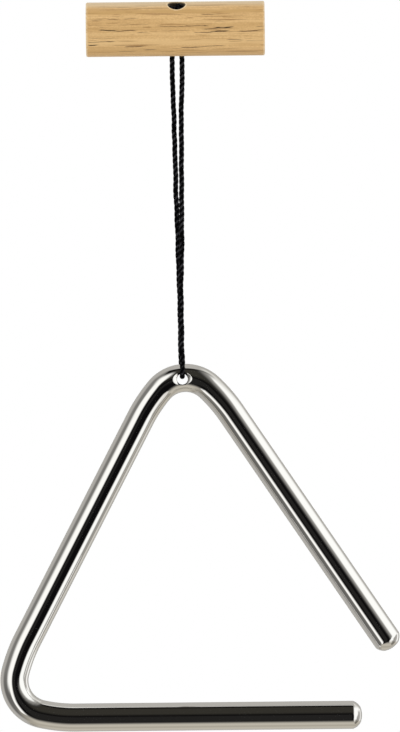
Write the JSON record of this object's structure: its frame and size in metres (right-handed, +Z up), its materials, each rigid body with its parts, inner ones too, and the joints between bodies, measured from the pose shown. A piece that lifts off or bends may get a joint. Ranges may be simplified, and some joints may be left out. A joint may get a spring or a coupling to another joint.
{
  "type": "triangle instrument",
  "caption": "Triangle bent from a chromed steel rod, open at one corner, hanging by a thin black cord loop from a turned wooden handle.",
  "frame": {"origin": "centre of the wooden handle, where the hand holds it", "axes": "+X along the handle, +Z up from the bar to the handle, -Y towards the viewer of the picture"},
  "size_m": [0.1142, 0.0171, 0.2083],
  "materials": {
    "wood": "satin",
    "cord": "matt",
    "chrome": "polished"
  },
  "bodies": {
    "handle_body": {"wooden_handle": "wood", "cord_knot": "cord"},
    "cord_neck_body": {"cord_neck": "cord"},
    "cord_upper_body": {"cord_upper_run": "cord"},
    "cord_lower_body": {"cord_lower_run": "cord", "cord_bight": "cord"},
    "bar_body": {"triangle_bar": "chrome"}
  },
  "joints": [
    {"name": "cord_swing", "type": "hinge", "parent": "handle_body", "child": "cord_neck_body", "pos_m": [0.0004, 0.0038, -0.0077], "axis": [1, 0, 0], "range_deg": [-60, 60], "deforming": ["cord_neck"]},
    {"name": "cord_sway", "type": "hinge", "parent": "cord_neck_body", "child": "cord_upper_body", "pos_m": [0.0004, 0.0038, -0.013], "axis": [0, 1, 0], "range_deg": [-30, 30], "deforming": ["cord_neck", "cord_upper_run"]},
    {"name": "cord_twist", "type": "hinge", "parent": "cord_upper_body", "child": "cord_lower_body", "pos_m": [0.001, 0.0038, -0.053], "axis": [0, 0, 1], "range_deg": [-180, 180], "deforming": ["cord_upper_run", "cord_lower_run"]},
    {"name": "triangle_rock", "type": "hinge", "parent": "cord_lower_body", "child": "bar_body", "pos_m": [0.001, 0.0038, -0.1], "axis": [0, 1, 0], "range_deg": [-90, 90]}
  ]
}
